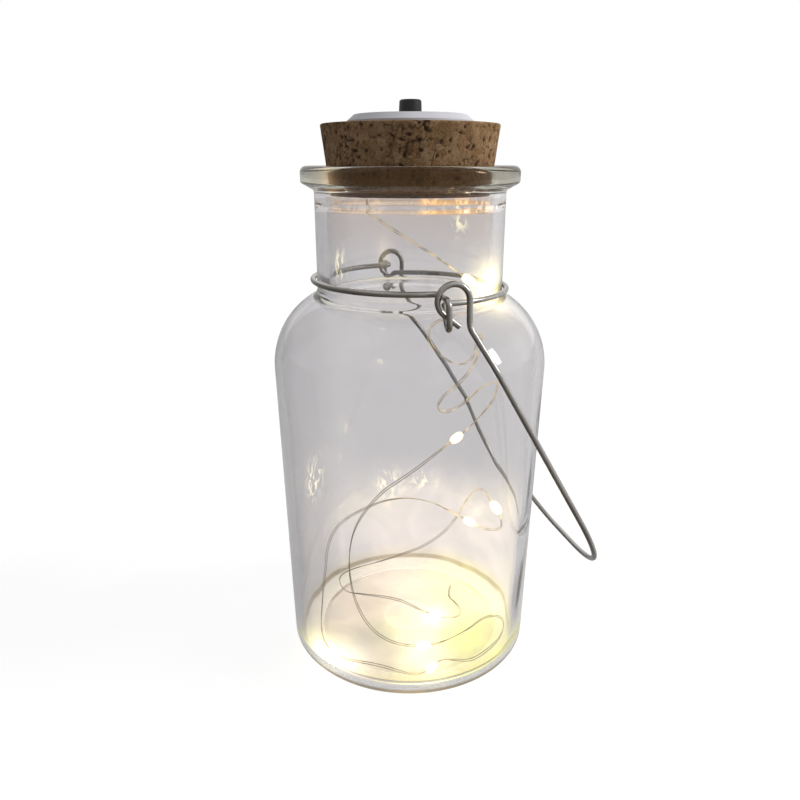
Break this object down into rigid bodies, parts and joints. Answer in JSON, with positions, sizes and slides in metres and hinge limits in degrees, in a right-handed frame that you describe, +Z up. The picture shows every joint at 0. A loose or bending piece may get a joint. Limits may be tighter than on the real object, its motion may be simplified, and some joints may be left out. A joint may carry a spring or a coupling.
{
  "type": "cork bottle light",
  "caption": "Clear glass bottle with a swinging wire handle and a cork stopper that holds a coin-cell light unit and a hanging string of lit beads.",
  "frame": {"origin": "centre of the bottle's base, on the surface that it stands on", "axes": "+Z up along the bottle's axis; the handle's hinge runs along Y and the handle hangs towards +X"},
  "size_m": [0.0911, 0.075, 0.1538],
  "materials": {
    "clear_glass": "clear, smooth, slightly uneven inside",
    "steel_wire": "plain drawn wire, dull grey",
    "cork": "pressed cork granules with dark pits",
    "white_plastic": "satin white",
    "cell_steel": "plain steel can",
    "contact_metal": "plated spring metal",
    "board": "solder mask",
    "black_plastic": "moulded",
    "button_plastic": "satin black",
    "soft_rubber": "soft, pale",
    "string_wire": "lacquered fine wire",
    "resin": "clear resin, lit warm white",
    "chip": "lit warm white"
  },
  "bodies": {
    "bottle": {"glass_bottle": "clear_glass", "neck_wire": "steel_wire"},
    "handle": {"bail_handle": "steel_wire"},
    "stopper": {"cork_stopper": "cork", "battery_case": "white_plastic", "cell_lower": "cell_steel", "cell_upper": "cell_steel", "negative_contact": "contact_metal", "positive_contact": "contact_metal", "circuit_board": "board", "resistor": "black_plastic", "switch_body": "black_plastic", "switch_spring": "contact_metal", "wire_grommet": "soft_rubber", "lead_wire": "string_wire", "light_wire": "string_wire", "led_chip_1": "chip", "led_chip_2": "chip", "led_chip_3": "chip", "led_chip_4": "chip", "led_chip_5": "chip", "led_chip_6": "chip", "led_chip_7": "chip", "led_chip_8": "chip", "light_bead_1": "resin", "light_bead_2": "resin", "light_bead_3": "resin", "light_bead_4": "resin", "light_bead_5": "resin", "light_bead_6": "resin", "light_bead_7": "resin", "light_bead_8": "resin"},
    "cover": {"case_cover": "white_plastic"},
    "button": {"switch_button": "button_plastic"}
  },
  "joints": [
    {"name": "handle_swing", "type": "hinge", "parent": "bottle", "child": "handle", "pos_m": [0.0019, 0, 0.1088], "axis": [0, -1, 0], "range_deg": [0, 288]},
    {"name": "stopper_lift", "type": "slide", "parent": "bottle", "child": "stopper", "axis": [0, 0, 1], "range_m": [0, 0.016]},
    {"name": "cover_lift", "type": "slide", "parent": "stopper", "child": "cover", "axis": [0, 0, 1], "range_m": [0, 0.008]},
    {"name": "button_press", "type": "slide", "parent": "stopper", "child": "button", "axis": [0, 0, -1], "range_m": [0, 0.0015], "stiffness_N_per_m": 400, "springref_m": -0.002, "deforming": ["switch_spring"]}
  ]
}
